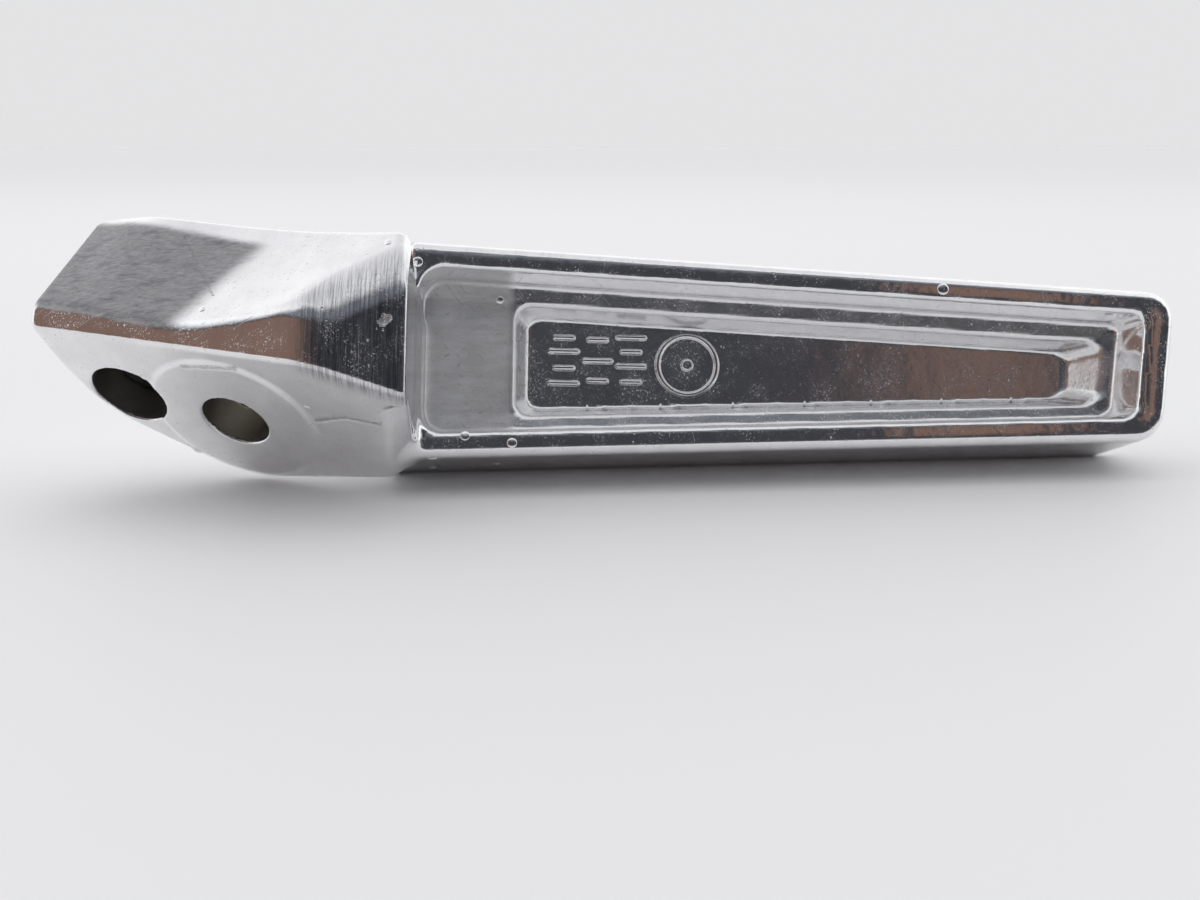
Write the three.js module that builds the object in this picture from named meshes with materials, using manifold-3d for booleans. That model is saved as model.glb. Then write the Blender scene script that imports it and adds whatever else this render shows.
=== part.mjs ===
// Folding pillion footrest peg: a tapered die-cast bar with a trough in its underside, and an oblique
// hinge tongue with a pivot bore and a detent bore. Millimetres.
//
// The design frame has +X along the bar towards its tip, +Y through it towards the tread face, and +Z
// across it. The rims of the trough lie in the plane y = 0. The finished group is turned so that the peg
// rests on its lower tread edge, with the trough facing -Y, +Z up, and its origin under its middle.

import * as THREE from 'three';
import { mergeVertices } from 'three/addons/utils/BufferGeometryUtils.js';
import Module from 'manifold-3d';

const wasm = await Module();
wasm.setup();

// ---------------------------------------------------------------- driving dimensions

const restLean = 20; // degrees that the trough looks up when the peg rests on its lower tread edge

const barRootX = -10.1; // where the bar begins, at the ridge of the tongue
const barTipX = 86.1; // the end face, on the centre line
const tipSkew = 0.125; // how far the end face leans, in mm along X for each mm along Z
const rimHalfRoot = 13.35; // half the bar's width over the rims, at barRootX
const rimHalfTip = 9.6; // and at barTipX
const barDepth = 12.8; // from the rims to the tread face
const flankDraft = 1.0; // how much wider each side is at the tread face than at the rims
const tipCorner = 4.2; // rounding of the bar's outline at its tip
const rimRound = 0.9; // rounding of the rims' outer edges
const treadRound = 0.8; // chamfer along the tread face

const railWidth = 2.6; // from the outer edge of a rim to the inner wall of the trough
const tipRail = 3.3; // the same at the tip
const troughWall = 0.8; // how far the inner wall leans in
const troughDepth = 5.0; // at the foot of the inner wall
const shelfFall = 0.6; // how much deeper the sloping shelf gets
const shelfWidth = 3.1; // across the shelf on each side
const tipShelf = 2.4; // the shelf's length at the tip
const rootShelf = 11.6; // the shelf's length at the root, from the ridge to the pocket
const shelfCorner = 4.0; // rounding of the trough's corners at the root
const pocketDepth = 3.2; // below the shelf's inner edge
const pocketWall = 1.2; // how far the pocket's side walls lean in
const pocketRamp = 3.6; // how far its end walls lean in at the tip
const pocketStep = 1.8; // and at the root

const axisSweep = 14.7; // degrees by which the pivot axis turns from the flank's normal towards the tip
const axisLean = 31; // degrees by which it leans towards the tread face
const pivot = new THREE.Vector3(-31.3, 1.15, -9.04); // pivot bore's centre on the near cheek
const tongueThick = 18; // between the two cheeks
const heelRadius = 11.6; // of the tongue's outline around the pivot bore
const crownY = -12.1; // level of the flat facet that crowns the tongue
const crownX = -21.2; // where that facet ends and the sloping one begins
const noseSlope = 14.5; // degrees, of the sloping facet
const ridgeDraft = 1.5; // degrees, of the wall at the end of the tongue
const stopInset = 2.7; // from the ridge to the notch in the near cheek, along the tongue
const stopBevel = 45; // degrees, of the notch's face
const stopTop = -9.6; // where the notch ends below the crown, across the tongue
const bossRadius = 10.4; // of the flat machined boss around the pivot bore
const bossHeight = 0.3;

const fit = 0.3; // clearance between pieces that touch

const pivotBore = 8.2; // diameter, a running fit on the bracket's 8 mm pin
const bushWall = 0.9;
const bushLength = 11.5;
const bushBore = pivotBore + 2 * (bushWall + fit); // the pivot bore's wider part, which holds the bush
const flangeReach = 1.9; // how far the bush's flange stands out from that part
const flangeThick = 1.2;
const flangeBore = bushBore + 2 * flangeReach;
const detentBore = 9.35;
const boreWall = 1.725; // metal left between the two bores at the far cheek
const detentPitch = (flangeBore + detentBore) / 2 + boreWall; // between the bores' axes
const ballRoom = 0.65; // how much narrower the ball is than its bore
const ballDiameter = detentBore - ballRoom;
const mouthGrip = 1.0; // how much narrower the mouth that keeps the ball in is than the ball
const detentMouth = ballDiameter - mouthGrip;
const mouthLength = 2.2; // the seat's cone
const ballProud = 1.4; // how far the ball stands out of the far cheek
const plugRecess = 13.4; // from the far cheek to the plug's outer face
const plugStart = tongueThick - plugRecess; // depth of that face below the near cheek
const plugLength = 4.6;
const plugFloor = 1.2;
const plugWall = 0.9;
const springWire = 0.7;
const springRoom = 0.4; // between the spring and the plug's wall
const springDiameter = detentBore - 2 * (fit + plugWall + springRoom); // over the wire
const springTurns = 3;
const travelRoom = 0.3; // left over behind the spring when the ball is pressed flush

const stripCount = 3;
const stripWidth = 4.4;
const stripRoot = 13.1; // from the ridge to the strips
const stripTip = 9.1; // from the strips to the end face
const stripSunk = 1.5; // depth of the groove
const stripProud = 1.6; // height of the rubber above the tread face
const stripEdge = 0.5; // bevel along the rubber's top
const stripPoint = 1.2; // length of the strip's pointed ends
const stripBlunt = 0.45; // width of their tips, as a share of the strip's
const stripFan = 0.58; // place of the outer strips, as a share of the half width

const roundSteps = 48; // facets around a bore or a ball
const cornerSteps = 5; // points on a rounded corner of an outline

// ---------------------------------------------------------------- solids

// A closed geometry as a solid for joining and cutting.
function toSolid(geometry) {
  const bare = geometry.clone();
  bare.deleteAttribute('normal');
  bare.deleteAttribute('uv');
  const merged = mergeVertices(bare, 1e-5);
  return new wasm.Manifold(new wasm.Mesh({
    numProp: 3,
    vertProperties: new Float32Array(merged.attributes.position.array),
    triVerts: new Uint32Array(merged.index.array),
  }));
}

function toGeometry(solid) {
  const mesh = solid.getMesh();
  const geometry = new THREE.BufferGeometry();
  geometry.setAttribute('position', new THREE.BufferAttribute(new Float32Array(mesh.vertProperties), 3));
  geometry.setIndex(new THREE.BufferAttribute(new Uint32Array(mesh.triVerts), 1));
  geometry.computeVertexNormals();
  return geometry;
}

// A solid through a stack of outlines, each a level y and a ring of [x, z] points, all with the same count.
function stack(layers) {
  const count = layers[0].ring.length;
  const points = layers.flatMap(({ y, ring }) => ring.flatMap(([x, z]) => [x, y, z]));
  const index = [];
  for (let layer = 0; layer + 1 < layers.length; layer += 1) {
    for (let i = 0; i < count; i += 1) {
      const a = layer * count + i;
      const b = layer * count + (i + 1) % count;
      index.push(a, a + count, b, b, a + count, b + count);
    }
  }
  const last = (layers.length - 1) * count;
  for (let i = 1; i + 1 < count; i += 1) {
    index.push(0, i, i + 1, last, last + i + 1, last + i);
  }
  const geometry = new THREE.BufferGeometry();
  geometry.setAttribute('position', new THREE.Float32BufferAttribute(points, 3));
  geometry.setIndex(index);
  return geometry;
}

// The half width of the bar over its rims.
function rimHalf(x) {
  return THREE.MathUtils.mapLinear(x, barRootX, barTipX, rimHalfRoot, rimHalfTip);
}

// A tapered outline from x0 to x1 whose sides follow the rims at the given inset, with the end at x1
// leaning as the bar's end face does, and each corner rounded by its own length.
function taperedRing(x0, x1, inset, rootCorner, endCorner) {
  const corner = (x, side, skew) => {
    const half = rimHalf(x) - inset;
    return new THREE.Vector2(x + skew * side * half, side * half);
  };
  const corners = [corner(x1, 1, tipSkew), corner(x0, 1, 0), corner(x0, -1, 0), corner(x1, -1, tipSkew)];
  const rounds = [endCorner, rootCorner, rootCorner, endCorner];
  return corners.flatMap((point, i) => {
    const before = corners[(i + 3) % 4].clone().sub(point).setLength(rounds[i]).add(point);
    const after = corners[(i + 1) % 4].clone().sub(point).setLength(rounds[i]).add(point);
    const curve = new THREE.QuadraticBezierCurve(before, point, after);
    return curve.getPoints(cornerSteps).map(({ x, y }) => [x, y]);
  });
}

// ---------------------------------------------------------------- pivot frame

// The pivot frame has its origin on the near cheek, at the pivot bore, with its z axis along the bore,
// into the tongue, and its x axis towards the tip.
const sweep = THREE.MathUtils.degToRad(axisSweep);
const lean = THREE.MathUtils.degToRad(axisLean);
const pivotAxis = new THREE.Vector3(
  Math.sin(sweep),
  Math.cos(sweep) * Math.sin(lean),
  Math.cos(sweep) * Math.cos(lean),
);
const alongTongue = new THREE.Vector3(1, 0, 0).addScaledVector(pivotAxis, -pivotAxis.x).normalize();
const acrossTongue = new THREE.Vector3().crossVectors(pivotAxis, alongTongue);
const pivotFrame = new THREE.Matrix4()
  .makeBasis(alongTongue, acrossTongue, pivotAxis)
  .setPosition(pivot);

// A body of revolution about a bore's axis: [radius, depth below the near cheek] points, at a place along
// the tongue.
function turned(profile, along) {
  const lathe = new THREE.LatheGeometry(profile.map(([r, z]) => new THREE.Vector2(r, z)), roundSteps);
  lathe.rotateX(Math.PI / 2);
  lathe.translate(along, 0, 0);
  return lathe.applyMatrix4(pivotFrame);
}

function turnedBore(radius, from, to, along) {
  return turned([[0, from], [radius, from], [radius, to], [0, to]], along);
}

// ---------------------------------------------------------------- casting

// The ridge's wall, where the tongue ends and the trough begins, leans by its draft.
const ridgeLean = Math.tan(THREE.MathUtils.degToRad(ridgeDraft));

function ridgeX(y) {
  return barRootX + ridgeLean * (y - crownY);
}

function barBody() {
  const layer = (y, inset) => ({
    y,
    ring: taperedRing(barRootX - 0.25 * y, barTipX - inset, inset, 0.6, tipCorner - 0.5 * inset),
  });
  const widest = barDepth - treadRound;
  return stack([
    layer(0, rimRound),
    layer(0.13 * rimRound, 0.5 * rimRound),
    layer(0.5 * rimRound, 0.13 * rimRound),
    layer(rimRound, 0),
    layer(widest, (-flankDraft * widest) / barDepth),
    layer(barDepth, treadRound - flankDraft),
  ]);
}

// The outer trough: a steep wall inside each rail, then a shelf that slopes down to the pocket.
const footInset = railWidth + troughWall;
const footTip = tipRail + troughWall;
const shelfInset = footInset + shelfWidth;
const shelfTip = footTip + tipShelf;
const shelfDepth = troughDepth + shelfFall;

function troughCut() {
  const lip = 0.5;
  const layer = (y, inset, tipInset, corner) => ({
    y,
    ring: taperedRing(ridgeX(y), barTipX - tipInset, inset, corner, 3),
  });
  return stack([
    layer(-1, railWidth - lip, tipRail - lip, shelfCorner),
    layer(lip, railWidth, tipRail, shelfCorner),
    layer(troughDepth, footInset, footTip, shelfCorner),
    layer(shelfDepth, shelfInset, shelfTip, 1),
  ]);
}

function pocketCut() {
  const rootX = ridgeX(shelfDepth) + rootShelf;
  const tipX = barTipX - shelfTip;
  const above = 0.3;
  const floor = shelfDepth + pocketDepth;
  const layer = (y, share) => ({
    y,
    ring: taperedRing(
      rootX + share * pocketStep, tipX - share * pocketRamp, shelfInset + share * pocketWall, 2, 2,
    ),
  });
  return stack([layer(shelfDepth - above, -above / pocketDepth), layer(floor, 1)]);
}

// One cheek's outline in the pivot frame, seen along the bore and taken anticlockwise: the hollowed top,
// given as points from the nose on, the foot that runs into the bar, the heel round the pivot, and the chin.
function cheekOutline(nose, top) {
  const chinEnd = new THREE.Vector2(-17.6, 4.0);
  const soleStart = new THREE.Vector2(-13.9, 6.4);
  const chin = new THREE.QuadraticBezierCurve(nose, new THREE.Vector2(-22.2, -2.2), chinEnd);
  const jaw = new THREE.QuadraticBezierCurve(chinEnd, new THREE.Vector2(-16.4, 5.6), soleStart);
  const heelStart = THREE.MathUtils.degToRad(118);
  const heelEnd = THREE.MathUtils.degToRad(70);
  const heel = new THREE.ArcCurve(0, 0, heelRadius, heelStart, heelEnd, true);
  const sole = [...chin.getPoints(8), ...jaw.getPoints(3).slice(1), ...heel.getPoints(12)];
  const foot = [new THREE.Vector2(27, 0), new THREE.Vector2(18.6, 5.5)];
  return [...new THREE.SplineCurve(top).getPoints(30), ...foot, ...sole.reverse()];
}

// The tongue's side is ruled between the outlines of its two cheeks, which hollows it a little more on
// the near side.
function tongueSlab() {
  const points = (pairs) => pairs.map(([u, v]) => new THREE.Vector2(u, v));
  const near = cheekOutline(new THREE.Vector2(-23.9, -10.4), points([
    [-23.5, -11.0], [-12.5, -12.0], [-4.3, -13.0], [3, -15.2], [9, -17.45], [18, -19.9], [27, -22.4],
  ]));
  const far = cheekOutline(new THREE.Vector2(-23.9, -8.6), points([
    [-21.6, -10.6], [-16.2, -13.0], [-4.4, -14.6], [3.3, -15.9], [9.6, -17.45], [18, -19.9], [27, -22.4],
  ]));
  const count = near.length;
  const vertices = [near, far].flatMap((ring, i) => ring.flatMap(({ x, y }) => [x, y, i * tongueThick]));
  const index = [];
  for (let i = 0; i < count; i += 1) {
    const next = (i + 1) % count;
    index.push(i, next, i + count, next, next + count, i + count);
  }
  for (const [a, b, c] of THREE.ShapeUtils.triangulateShape(near, [])) {
    index.push(a, c, b);
  }
  for (const [a, b, c] of THREE.ShapeUtils.triangulateShape(far, [])) {
    index.push(a + count, b + count, c + count);
  }
  const geometry = new THREE.BufferGeometry();
  geometry.setAttribute('position', new THREE.Float32BufferAttribute(vertices, 3));
  geometry.setIndex(index);
  return geometry.applyMatrix4(pivotFrame);
}

function tongueBody() {
  // The facets on the crown and the nose, and the ridge, as one block that the tongue is kept inside.
  const noseRise = Math.tan(THREE.MathUtils.degToRad(noseSlope));
  const far = 60;
  const side = new THREE.Shape([
    new THREE.Vector2(ridgeX(crownY), crownY),
    new THREE.Vector2(ridgeX(far), far),
    new THREE.Vector2(crownX - far, far),
    new THREE.Vector2(crownX - far, crownY + noseRise * far),
    new THREE.Vector2(crownX, crownY),
  ]);
  const block = new THREE.ExtrudeGeometry(side, { depth: 2 * far, bevelEnabled: false });
  block.translate(0, 0, -far);
  return toSolid(tongueSlab()).intersect(toSolid(block));
}

// The notch in the end of the near cheek: its sloping face is the stop that meets the bracket when the
// peg is down.
function stopCut() {
  const size = 40;
  const tool = new THREE.BoxGeometry(size, size, size);
  tool.translate(size / 2, 0, -size / 2);
  tool.rotateY(-THREE.MathUtils.degToRad(stopBevel));
  const ridge = (barRootX - pivot.x) / alongTongue.x;
  tool.translate(ridge - stopInset, stopTop + size / 2, 0);
  return tool.applyMatrix4(pivotFrame);
}

function detentBoreCut() {
  const bore = detentBore / 2;
  const mouth = detentMouth / 2;
  return turned([
    [0, -2], [bore, -2], [bore, tongueThick - mouthLength], [mouth, tongueThick], [mouth, tongueThick + 2],
    [0, tongueThick + 2],
  ], -detentPitch);
}

function pivotBoreCut() {
  const flangeDepth = tongueThick - flangeThick - fit;
  const bushDepth = flangeDepth - bushLength;
  return turned([
    [0, -2], [pivotBore / 2, -2], [pivotBore / 2, bushDepth], [bushBore / 2, bushDepth],
    [bushBore / 2, flangeDepth], [flangeBore / 2, flangeDepth], [flangeBore / 2, tongueThick + 2],
    [0, tongueThick + 2],
  ], 0);
}

// A rubber strip's outline, at a clearance inside its groove; lane is -1, 0 or 1.
function stripRing(lane, gap) {
  const point = (x, side) => [x, lane * stripFan * rimHalf(x) + side * (stripWidth / 2 - gap)];
  const start = barRootX + stripRoot + gap;
  const end = barTipX - stripTip - gap;
  return [
    point(end - stripPoint, 1), point(start + stripPoint, 1), point(start, stripBlunt),
    point(start, -stripBlunt), point(start + stripPoint, -1), point(end - stripPoint, -1),
    point(end, -stripBlunt), point(end, stripBlunt),
  ];
}

const lanes = Array.from({ length: stripCount }, (_, i) => i - (stripCount - 1) / 2);

function grooveCut(lane) {
  const ring = stripRing(lane, 0);
  return stack([{ y: barDepth - stripSunk, ring }, { y: barDepth + 1, ring }]);
}

function castingGeometry() {
  let solid = toSolid(barBody())
    .subtract(toSolid(troughCut()))
    .subtract(toSolid(pocketCut()));
  solid = solid.add(tongueBody().subtract(toSolid(stopCut())));
  solid = solid.add(toSolid(turnedBore(bossRadius, -bossHeight, 1, 0)));
  solid = solid.subtract(toSolid(pivotBoreCut())).subtract(toSolid(detentBoreCut()));
  for (const lane of lanes) {
    solid = solid.subtract(toSolid(grooveCut(lane)));
  }
  return toGeometry(solid);
}

// ---------------------------------------------------------------- pieces in the bores

function bushGeometry() {
  const outer = bushBore / 2 - fit;
  const inner = pivotBore / 2;
  const flangeDepth = tongueThick - flangeThick;
  return turned([
    [inner, flangeDepth - bushLength + fit], [outer, flangeDepth - bushLength + fit], [outer, flangeDepth],
    [flangeBore / 2 - fit, flangeDepth], [flangeBore / 2 - fit, tongueThick], [inner, tongueThick],
    [inner, flangeDepth - bushLength + fit],
  ], 0);
}

const ballCentre = tongueThick + ballProud - ballDiameter / 2;

function ballGeometry() {
  const ball = new THREE.SphereGeometry(ballDiameter / 2, 32, 20);
  ball.rotateX(Math.PI / 2);
  ball.translate(-detentPitch, 0, ballCentre);
  return ball.applyMatrix4(pivotFrame);
}

function plugGeometry() {
  const outer = detentBore / 2 - fit;
  const inner = springDiameter / 2 + springRoom;
  const floor = plugStart + plugFloor;
  const end = plugStart + plugLength;
  return turned([[0, plugStart], [outer, plugStart], [outer, end], [inner, end], [inner, floor], [0, floor]],
    -detentPitch);
}

// The spring's first turn bears on the ball where the ball is as wide as the spring, and its last turn
// stops short of the plug's floor by the ball's travel.
class SpringCurve extends THREE.Curve {
  constructor(radius, from, to) {
    super();
    Object.assign(this, { radius, from, to });
  }

  getPoint(t, target = new THREE.Vector3()) {
    const angle = 2 * Math.PI * springTurns * t;
    return target.set(
      this.radius * Math.cos(angle),
      this.radius * Math.sin(angle),
      THREE.MathUtils.lerp(this.from, this.to, t),
    );
  }
}

function springGeometry() {
  const radius = (springDiameter - springWire) / 2;
  const reach = Math.sqrt((ballDiameter / 2 + springWire / 2 + fit) ** 2 - radius ** 2);
  const from = plugStart + plugFloor + ballProud + travelRoom + springWire / 2;
  const curve = new SpringCurve(radius, from, ballCentre - reach);
  const sides = 8;
  const section = new THREE.Shape(Array.from({ length: sides }, (_, i) => new THREE.Vector2(
    0.5 * springWire * Math.cos((2 * Math.PI * i) / sides),
    0.5 * springWire * Math.sin((2 * Math.PI * i) / sides),
  )));
  const coil = new THREE.ExtrudeGeometry(section, { steps: springTurns * 16, extrudePath: curve });
  coil.translate(-detentPitch, 0, 0);
  return coil.applyMatrix4(pivotFrame);
}

// ---------------------------------------------------------------- tread rubbers

function stripGeometry(lane) {
  const top = barDepth + stripProud;
  return stack([
    { y: barDepth - stripSunk + fit, ring: stripRing(lane, fit) },
    { y: top - stripEdge, ring: stripRing(lane, fit) },
    { y: top, ring: stripRing(lane, fit + stripEdge) },
  ]);
}

// ---------------------------------------------------------------- assembly

const polished = new THREE.MeshStandardMaterial({ color: 0xc9cbcf, roughness: 0.12, metalness: 1 });
const bronze = new THREE.MeshStandardMaterial({ color: 0xb08a52, roughness: 0.4, metalness: 1 });
const hardened = new THREE.MeshStandardMaterial({ color: 0xb9bcc2, roughness: 0.08, metalness: 1 });
const springSteel = new THREE.MeshStandardMaterial({ color: 0x8d9096, roughness: 0.3, metalness: 1 });
const rubber = new THREE.MeshStandardMaterial({ color: 0x1b1b1c, roughness: 0.85, metalness: 0 });

const peg = new THREE.Group();

function addPiece(name, geometry, material) {
  const mesh = new THREE.Mesh(geometry, material);
  mesh.name = name;
  peg.add(mesh);
}

addPiece('peg_casting', castingGeometry(), polished);
addPiece('pivot_bush', bushGeometry(), bronze);
addPiece('detent_ball', ballGeometry(), hardened);
addPiece('detent_spring', springGeometry(), springSteel);
addPiece('detent_plug', plugGeometry(), springSteel);
const laneNames = ['lower', 'middle', 'upper'];
lanes.forEach((lane, i) => addPiece(`tread_rubber_${laneNames[i]}`, stripGeometry(lane), rubber));

// Turned to its rest pose, where the bar's lower edge lies level, then moved so that it stands on z = 0
// with the origin under its middle.
const restDip = Math.atan((rimHalfRoot - rimHalfTip) / (barTipX - barRootX));
peg.rotation.set(-THREE.MathUtils.degToRad(restLean), restDip, 0);
const placed = new THREE.Group();
placed.add(peg);
const box = new THREE.Box3().setFromObject(placed, true);
const centre = box.getCenter(new THREE.Vector3());
peg.position.set(-centre.x, -centre.y, -box.min.z);

export default placed;
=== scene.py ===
"""Folding pillion footrest peg: a polished die-cast bar with its tread rubbers, bush and click ball.

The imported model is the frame. Shapes are worked out in millimetres in the bar's own frame, which has x
along the bar to its tip, y through it to the tread face and z across it, and are then put in place.
"""

import bpy
import numpy as np
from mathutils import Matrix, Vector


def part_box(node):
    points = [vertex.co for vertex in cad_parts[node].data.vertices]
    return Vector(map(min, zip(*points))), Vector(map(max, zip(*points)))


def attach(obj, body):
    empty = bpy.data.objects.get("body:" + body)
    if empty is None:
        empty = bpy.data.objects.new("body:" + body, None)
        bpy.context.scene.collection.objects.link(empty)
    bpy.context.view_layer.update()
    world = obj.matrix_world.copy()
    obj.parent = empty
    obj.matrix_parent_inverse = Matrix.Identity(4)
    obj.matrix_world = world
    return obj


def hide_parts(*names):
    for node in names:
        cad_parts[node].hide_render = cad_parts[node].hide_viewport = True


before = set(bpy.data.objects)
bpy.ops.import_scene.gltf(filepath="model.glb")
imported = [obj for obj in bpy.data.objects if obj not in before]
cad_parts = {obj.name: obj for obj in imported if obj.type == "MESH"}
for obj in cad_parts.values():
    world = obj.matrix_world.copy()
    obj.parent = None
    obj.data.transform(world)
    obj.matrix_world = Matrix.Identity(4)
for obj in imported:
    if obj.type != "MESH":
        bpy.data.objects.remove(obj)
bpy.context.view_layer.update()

# ---------------------------------------------------------------- where the bar lies
# The peg rests on the lower edge of its tread face with the trough leaning back, and the click ball's
# centre ties the bar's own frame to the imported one. The bar narrows to its tip, so it dips by its taper.

bar_root, bar_tip = -10.1, 86.1
rim_root, rim_tip = 13.35, 9.6
rest_lean = np.radians(20)
rest_dip = np.arctan((rim_root - rim_tip) / (bar_tip - bar_root))
tilt = np.array([
    [1, 0, 0],
    [0, np.cos(rest_lean), np.sin(rest_lean)],
    [0, -np.sin(rest_lean), np.cos(rest_lean)],
])
dip = np.array([
    [np.cos(rest_dip), 0, np.sin(rest_dip)],
    [0, 1, 0],
    [-np.sin(rest_dip), 0, np.cos(rest_dip)],
])
bar_turn = tilt @ dip

pin_sweep = np.radians(14.7)
pin_lean = np.radians(31)
pin_centre = np.array([-31.3, 1.15, -9.04])
pin_axis = np.array([
    np.sin(pin_sweep),
    np.cos(pin_sweep) * np.sin(pin_lean),
    np.cos(pin_sweep) * np.cos(pin_lean),
])
along = np.array([1.0, 0, 0]) - pin_axis[0] * pin_axis
along /= np.linalg.norm(along)
across = np.cross(pin_axis, along)
pin_frame = np.stack([along, across, pin_axis], axis=1)

ball_pitch = 13.6
ball_radius = 4.35
ball_depth = 15.05
ball_corners = np.array(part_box("detent_ball"))
bar_place = 1000 * ball_corners.mean(axis=0) - bar_turn @ (
    pin_centre + pin_frame @ [-ball_pitch, 0, ball_depth]
)


def to_row(points):
    """Points in the bar's frame, in millimetres, as metres in the row frame: turned, then moved."""
    return (points @ bar_turn.T + bar_place) / 1000


def from_row(points):
    """Points in the row frame, in metres, as millimetres in the bar's frame."""
    return (1000 * points - bar_place) @ bar_turn


def new_piece(name, points, faces, material):
    """A mesh object from an array of points in the bar's frame and a list or array of faces."""
    mesh = bpy.data.meshes.new(name)
    mesh.from_pydata(to_row(points), [], [tuple(face) for face in faces])
    mesh.materials.append(material)
    mesh.shade_smooth()
    piece = bpy.data.objects.new(name, mesh)
    bpy.context.scene.collection.objects.link(piece)
    return piece


# ---------------------------------------------------------------- the casting's shape
# One aluminium die casting, polished and plated: a tapered bar with a trough in its underside, and an
# oblique hinge tongue whose top is hollowed. Every edge is rounded by the die and the polishing wheel.


def round_and(a, b, radius):
    """Distance to what is inside both shapes, with their common edge rounded to a radius: beyond the two
    faces set back by the radius, it is the distance to the edge that they make, less the radius."""
    beyond = np.hypot(np.maximum(a + radius, 0), np.maximum(b + radius, 0))
    return np.minimum(np.maximum(a, b), -radius) + beyond


def round_or(a, b, radius):
    """Distance to what is inside either shape, with their common corner filleted to a radius."""
    return -round_and(-a, -b, radius)


def soft_step(value, low, high):
    """0 below low, 1 above high, and a cubic ease between them."""
    share = np.clip((value - low) / (high - low), 0, 1)
    return share * share * (3 - 2 * share)


def eased_curve(knots, spread):
    """A smooth function through a chain of points: straight lines between the points, averaged over a
    bell of the given spread. Returns a table of places and values to interpolate in."""
    at, value = np.array(knots, float).T
    place = np.arange(at[0] - 12, at[-1] + 12, 0.05)
    first = (value[1] - value[0]) / (at[1] - at[0])
    last = (value[-1] - value[-2]) / (at[-1] - at[-2])
    level = np.interp(place, at, value)
    level += first * np.minimum(place - at[0], 0) + last * np.maximum(place - at[-1], 0)
    reach = np.arange(-4 * spread, 4 * spread + 0.01, 0.05)
    bell = np.exp(-0.5 * (reach / spread) ** 2)
    edge = len(reach) // 2
    padded = np.concatenate([
        level[0] - first * 0.05 * np.arange(edge, 0, -1),
        level,
        level[-1] + last * 0.05 * np.arange(1, edge + 1),
    ])
    return place, np.convolve(padded, bell / bell.sum(), "valid")[: len(place)]


# Sizes of the bar, its trough and its pocket. A draft, lean or fall is how far a face slopes for each
# millimetre. A sloping face's value is divided by about the length of its slope, to stay a distance.
bar_depth = 12.8
tip_skew = 0.125
crown_level = -12.1
floor_level = 8.8
shelf_level = 5.6

corner_round = 3.8
rim_land, rim_crowning, rim_round = 3.0, 22, 1.1
tread_round, root_round = 0.9, 0.6
root_overlap, root_draft = 0.8, 0.25

wall_inset, wall_lean = 3.0, 0.09
end_inset, end_lean = 4.0, 0.2
wall_corner, root_corner, wall_foot = 1.7, 3.2, 0.5
shelf_edge, shelf_inset, shelf_from_tip = 5.2, 3.4, 5.5
shelf_fall, shelf_tip_fall, shelf_mitre = 0.16, 0.2, 0.2
pocket_inset, pocket_lean, pocket_shift = 6.0, 0.3, 0.25
pocket_tip_inset, pocket_tip_lean = 6.5, 1.125
pocket_root_x, pocket_root_lean = 1.96, 0.5625
pocket_corner, pocket_foot, pocket_lip = 1.8, 0.4, 0.45


def rim_half(x):
    """Half the bar's width over its rims, which falls evenly from the root to the tip."""
    return rim_root + (x - bar_root) * (rim_tip - rim_root) / (bar_tip - bar_root)


def ridge_at(y):
    """Where the tongue's end wall stands, with its slight draft."""
    return bar_root + np.tan(np.radians(1.5)) * (y - crown_level)


def bar_body(x, y, z):
    """The solid bar: flanks with draft and an end face, rounded in plan, over the rims and at the tread."""
    flank = (np.abs(z) - rim_half(x) - y / bar_depth) / 1.0038
    end = (x - bar_tip - tip_skew * z) / 1.0078
    shape = round_and(flank, end, corner_round)
    in_from_edge = np.clip(-shape, 0, rim_land)
    shape = round_and(shape, (in_from_edge - rim_land / 2) ** 2 / rim_crowning - y, rim_round)
    shape = round_and(shape, y - bar_depth, tread_round)
    return round_and(shape, (bar_root - root_overlap - root_draft * y - x) / 1.031, root_round)


def bar_hollow(x, y, z):
    """The trough: leaning inner walls down to a sloping shelf, and the deeper pocket inside the shelf."""
    inset = rim_half(x) - np.abs(z)
    from_tip = bar_tip + tip_skew * z - x
    side = (wall_inset + wall_lean * y - inset) / 1.01
    end = (end_inset + end_lean * y - from_tip) / 1.03
    walls = round_and(round_and(side, end, wall_corner), ridge_at(y) - x, root_corner)
    side_fall = (inset - shelf_inset) * shelf_fall
    tip_fall = (from_tip - shelf_from_tip) * shelf_tip_fall
    shelf = shelf_edge + round_or(side_fall, tip_fall, shelf_mitre)
    outer = round_and(walls, (y - np.minimum(shelf, shelf_level)) / 1.02, wall_foot)
    sink = y - shelf_level
    inset_low = rim_half(x) - np.abs(z + pocket_shift) + pocket_shift
    pocket_side = (pocket_inset + pocket_lean * sink - inset_low) / 1.05
    pocket_end = (pocket_tip_inset + pocket_tip_lean * sink - from_tip) / 1.5
    pocket_root = (pocket_root_x + pocket_root_lean * sink - x) / 1.147
    pocket = round_and(round_and(pocket_side, pocket_end, pocket_corner), pocket_root, pocket_corner)
    inner = round_and(round_and(pocket, walls, pocket_foot), y - floor_level, pocket_foot)
    return round_or(outer, inner, pocket_lip)


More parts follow.
